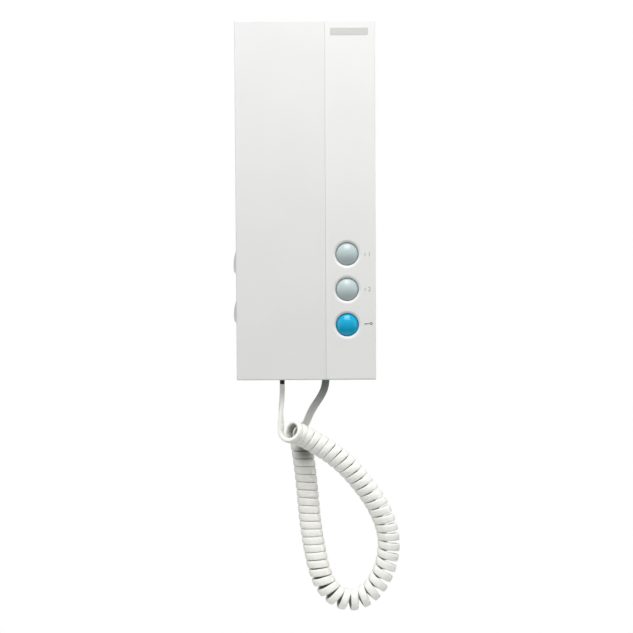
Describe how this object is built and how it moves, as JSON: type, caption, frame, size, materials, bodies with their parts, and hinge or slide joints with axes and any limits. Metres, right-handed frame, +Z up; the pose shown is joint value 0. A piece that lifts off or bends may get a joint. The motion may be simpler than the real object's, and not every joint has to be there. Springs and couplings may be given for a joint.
{
  "type": "audio intercom handset",
  "caption": "Wall audio intercom: a full-height handset beside a column of round push buttons, on a moulded base, with a curly cord looping below.",
  "frame": {"origin": "centre of the two wall screw holes, on the back face of the base", "axes": "+X to the caller's right, +Y into the wall, +Z up along the long side"},
  "size_m": [0.1037, 0.0477, 0.3674],
  "materials": {
    "case_plastic": "satin off-white moulded plastic",
    "grey_button": "glossy blue-grey plastic",
    "blue_button": "glossy blue plastic",
    "knob_plastic": "grey plastic",
    "cord_jacket": "smooth white cord jacket",
    "dark_rubber": "dark grey rubber",
    "board": "green circuit board",
    "black_plastic": "black plastic",
    "terminal_plastic": "green plastic",
    "steel": "zinc-plated steel",
    "film": "thin plastic film"
  },
  "bodies": {
    "base": {"rear_base": "case_plastic", "front_housing": "case_plastic", "main_board": "board", "button_board": "board", "board_header": "black_plastic", "housing_screw": "steel", "terminal_block": "terminal_plastic", "terminal_screws": "steel", "call_buzzer": "black_plastic", "hook_switch": "black_plastic", "upper_switch": "black_plastic", "middle_switch": "black_plastic", "door_switch": "black_plastic", "ringer_switch": "black_plastic", "volume_switch": "black_plastic", "base_cord_grommet": "dark_rubber", "handset_cord_tail": "cord_jacket", "curly_cord": "cord_jacket", "base_cord_tail": "cord_jacket"},
    "handset": {"handset_outer_shell": "case_plastic", "handset_inner_shell": "case_plastic", "earpiece_frame": "black_plastic", "earpiece_diaphragm": "film", "earpiece_magnet": "steel", "microphone_holder": "dark_rubber", "microphone": "steel", "handset_cord_boot": "dark_rubber"},
    "hook_plunger": {"hook_plunger": "knob_plastic"},
    "upper_button": {"upper_button": "grey_button"},
    "middle_button": {"middle_button": "grey_button"},
    "door_button": {"door_button": "blue_button"},
    "ringer_knob": {"ringer_knob": "knob_plastic"},
    "volume_knob": {"volume_knob": "knob_plastic"}
  },
  "joints": [
    {"name": "handset_lift", "type": "slide", "parent": "base", "child": "handset", "axis": [0, -1, 0], "range_m": [0, 0.04], "deforming": ["handset_cord_tail", "curly_cord", "base_cord_tail"]},
    {"name": "hook_plunger_slide", "type": "slide", "parent": "base", "child": "hook_plunger", "axis": [0, -1, 0], "range_m": [0, 0.003]},
    {"name": "upper_button_press", "type": "slide", "parent": "base", "child": "upper_button", "axis": [0, 1, 0], "range_m": [0, 0.0008], "stiffness_N_per_m": 1500, "springref_m": -0.0004},
    {"name": "middle_button_press", "type": "slide", "parent": "base", "child": "middle_button", "axis": [0, 1, 0], "range_m": [0, 0.0008], "stiffness_N_per_m": 1500, "springref_m": -0.0004},
    {"name": "door_button_press", "type": "slide", "parent": "base", "child": "door_button", "axis": [0, 1, 0], "range_m": [0, 0.0008], "stiffness_N_per_m": 1500, "springref_m": -0.0004},
    {"name": "ringer_knob_slide", "type": "slide", "parent": "base", "child": "ringer_knob", "axis": [0, 0, 1], "range_m": [0, 0.003]},
    {"name": "volume_knob_slide", "type": "slide", "parent": "base", "child": "volume_knob", "axis": [0, 0, 1], "range_m": [0, 0.003]}
  ],
  "couplings": [
    {"joint": "hook_plunger_slide", "follows": "handset_lift", "ratio": 0.075}
  ]
}
